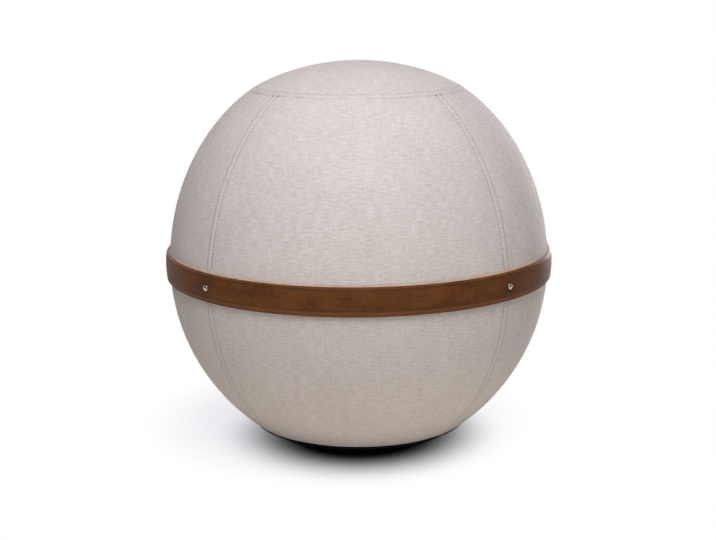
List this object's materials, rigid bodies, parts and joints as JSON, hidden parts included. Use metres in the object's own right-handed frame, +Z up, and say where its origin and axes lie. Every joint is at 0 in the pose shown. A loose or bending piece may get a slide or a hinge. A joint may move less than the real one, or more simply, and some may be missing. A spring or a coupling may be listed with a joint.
{
  "type": "sitting ball",
  "caption": "Inflated sitting ball in a sewn fabric cover with a domed cap, standing on a flat weighted base, with a leather-look carrying strap studded round its equator.",
  "frame": {"origin": "on the floor under the middle of the ball", "axes": "+Z up; -Y out of the front panel; the side seams run up at 45 degrees between X and Y"},
  "size_m": [0.5598, 0.5598, 0.5336],
  "materials": {
    "cover_fabric": "linen-look weave",
    "seam_tape": "woven tape",
    "base_fabric": "coated non-slip weave",
    "zip_tape": "woven nylon",
    "zip_metal": "satin black",
    "ballast": "matt",
    "bladder": "satin",
    "valve": "satin",
    "strap_leather": "waxed, satin",
    "strap_lining": "suede",
    "stud_metal": "polished"
  },
  "bodies": {
    "ball": {"top_cap": "cover_fabric", "side_panel_front": "cover_fabric", "side_panel_right": "cover_fabric", "side_panel_back": "cover_fabric", "side_panel_left": "cover_fabric", "cap_seam_tape": "seam_tape", "seam_tape_front_right": "seam_tape", "seam_tape_back_right": "seam_tape", "seam_tape_back_left": "seam_tape", "seam_tape_front_left": "seam_tape", "base_panel": "base_fabric", "base_band": "base_fabric", "zip_tape_upper": "zip_tape", "zip_tape_lower": "zip_tape", "zip_top_stop": "zip_metal", "zip_bottom_stop": "zip_metal", "ballast_ring": "ballast", "ballast_pocket": "base_fabric", "bladder": "bladder", "valve_seat": "valve", "strap": "strap_leather", "strap_lining": "strap_lining", "stud_front_right": "stud_metal", "stud_back_right": "stud_metal", "stud_back_left": "stud_metal", "stud_front_left": "stud_metal", "stud_washer_front_right": "stud_metal", "stud_washer_back_right": "stud_metal", "stud_washer_back_left": "stud_metal", "stud_washer_front_left": "stud_metal"},
    "slider": {"zip_slider": "zip_metal"},
    "pull": {"zip_pull": "zip_metal"},
    "plug": {"valve_plug": "valve"}
  },
  "joints": [
    {"name": "zip_travel", "type": "hinge", "parent": "ball", "child": "slider", "pos_m": [0, 0, 0.0071], "axis": [0, 0, 1], "range_deg": [-104.9, 0]},
    {"name": "pull_swing", "type": "hinge", "parent": "slider", "child": "pull", "pos_m": [-0.12255, 0.09409, 0.0071], "axis": [0, 0, 1], "range_deg": [0, 175]},
    {"name": "plug_draw", "type": "slide", "parent": "ball", "child": "plug", "axis": [0, 0, -1], "range_m": [0, 0.014]}
  ]
}
